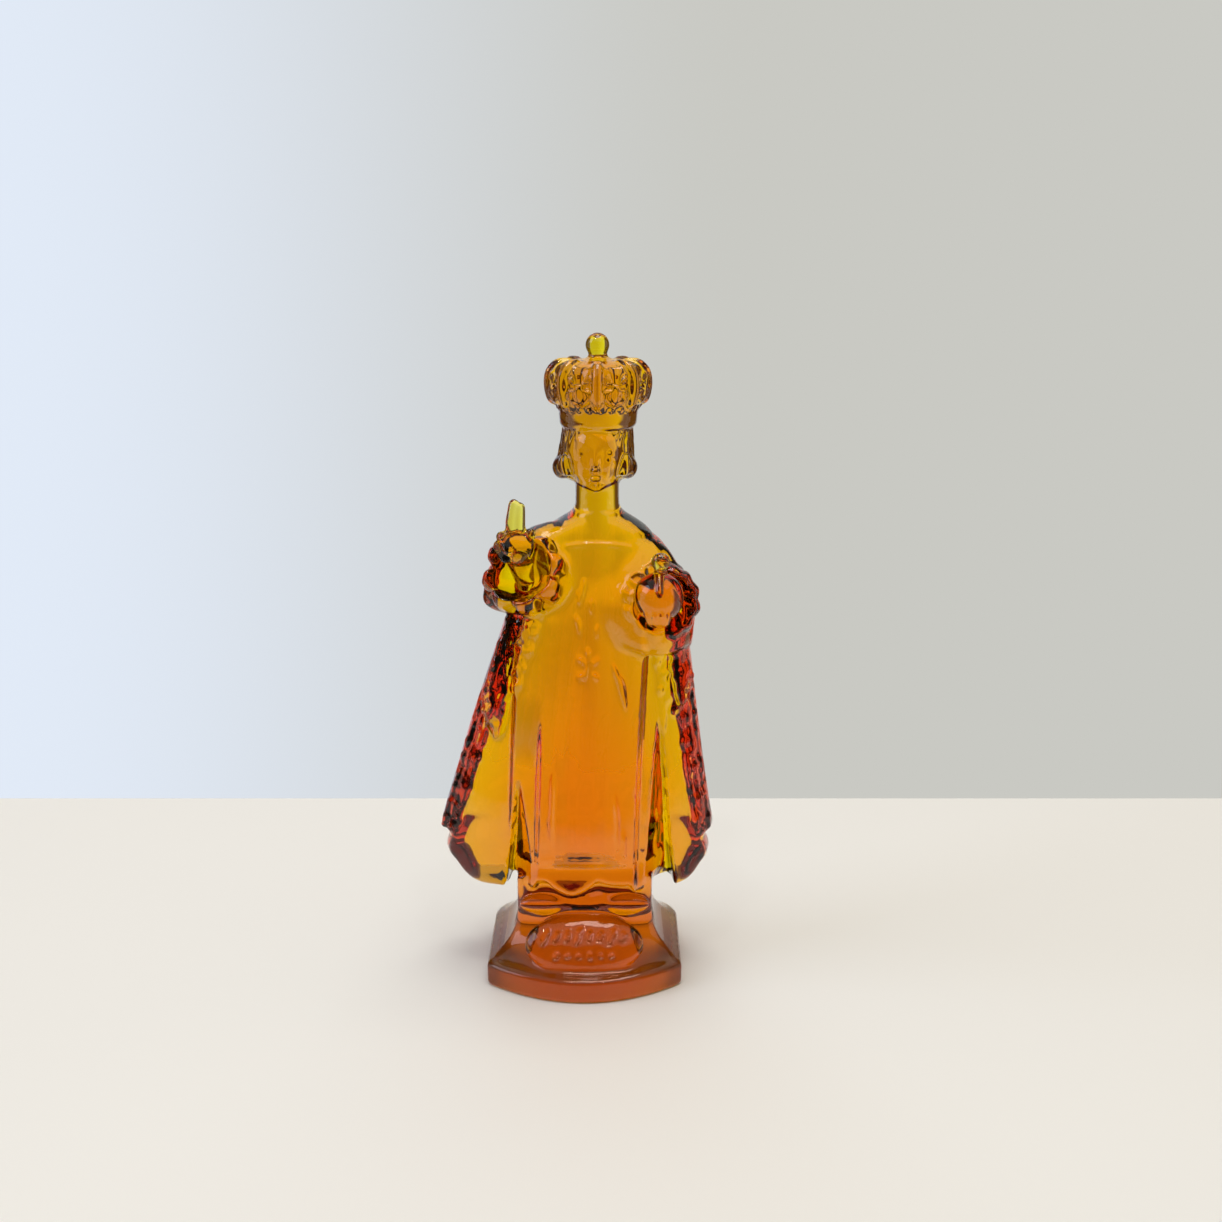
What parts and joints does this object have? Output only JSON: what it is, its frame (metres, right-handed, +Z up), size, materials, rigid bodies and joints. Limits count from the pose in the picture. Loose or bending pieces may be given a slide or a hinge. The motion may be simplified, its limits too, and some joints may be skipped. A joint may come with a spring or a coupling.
{
  "type": "pressed glass statuette of a crowned robed child",
  "caption": "Solid amber glass statuette of a crowned child in a long mantle, one hand raised, an orb in the other, on a flared pedestal.",
  "frame": {"origin": "middle of the pedestal's flat underside", "axes": "+Z up along the figure; -Y is the front that the figure faces; +X is the viewer's right, the side of the orb"},
  "size_m": [0.0502, 0.0345, 0.116],
  "materials": {
    "amber_glass": "clear amber pressed glass, fire-polished, gently rippled"
  },
  "bodies": {
    "root": {"statuette": "amber_glass"}
  },
  "joints": []
}
